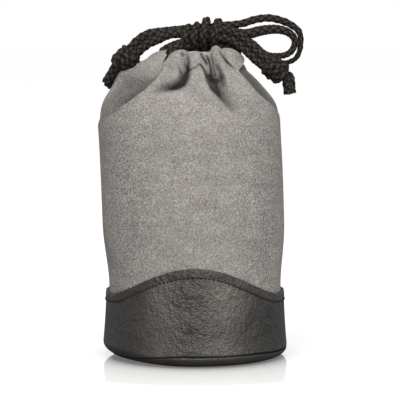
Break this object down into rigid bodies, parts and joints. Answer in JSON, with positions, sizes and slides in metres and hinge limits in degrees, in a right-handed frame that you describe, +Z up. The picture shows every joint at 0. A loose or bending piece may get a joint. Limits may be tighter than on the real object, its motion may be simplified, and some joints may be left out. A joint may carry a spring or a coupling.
{
  "type": "lens pouch",
  "caption": "Round drawstring pouch for a camera lens: suede wall gathered to a neck, leather lower band and sole, padded lining, braided cords tied over the mouth in a half bow.",
  "frame": {"origin": "middle of the sole's flat underside, on the floor", "axes": "+Z up from the sole to the tied mouth, -Y towards the front with the crest of the leather band, +X to the bow"},
  "size_m": [0.1111, 0.1, 0.1831],
  "materials": {
    "suede": "napped warm grey suede",
    "leather": "grained charcoal black, satin",
    "thread": "waxed black thread",
    "cord": "matt black braid",
    "lining": "dark grey brushed knit",
    "foam": "matt dark foam",
    "board": "matt fibre board"
  },
  "bodies": {
    "pouch": {"base_sole": "leather", "base_board": "board", "base_foam_pad": "foam", "base_lining_disc": "lining", "leather_band_front": "leather", "band_binding_front": "leather", "band_thread_front": "thread", "wall_padding_front": "foam", "leather_band_back": "leather", "band_binding_back": "leather", "band_thread_back": "thread", "wall_padding_back": "foam", "left_seam_tape": "lining", "right_seam_tape": "lining", "lining_sleeve": "lining", "suede_front_panel": "suede", "suede_back_panel": "suede", "left_drawcord": "cord", "right_drawcord": "cord", "tie_knot": "cord"},
    "left_pull": {"left_pull_upper": "cord", "left_pull_lower": "cord", "left_stopper_knot": "cord", "left_tail_upper": "cord", "left_tail_lower": "cord"},
    "right_pull": {"right_pull_upper": "cord", "right_pull_lower": "cord", "right_stopper_knot": "cord", "right_tail_upper": "cord", "right_tail_lower": "cord"},
    "bow_loop": {"bow_loop_outer": "cord", "bow_loop_inner": "cord"}
  },
  "joints": [
    {"name": "left_pull_swing", "type": "hinge", "parent": "pouch", "child": "left_pull", "pos_m": [0.0052, 0, 0.1725], "axis": [0, 1, 0], "range_deg": [0, 60]},
    {"name": "right_pull_swing", "type": "hinge", "parent": "pouch", "child": "right_pull", "pos_m": [0.0052, 0, 0.1725], "axis": [0, -1, 0], "range_deg": [0, 60]},
    {"name": "bow_loop_swing", "type": "hinge", "parent": "pouch", "child": "bow_loop", "pos_m": [0.0052, 0, 0.1725], "axis": [0, -1, 0], "range_deg": [0, 35]}
  ]
}
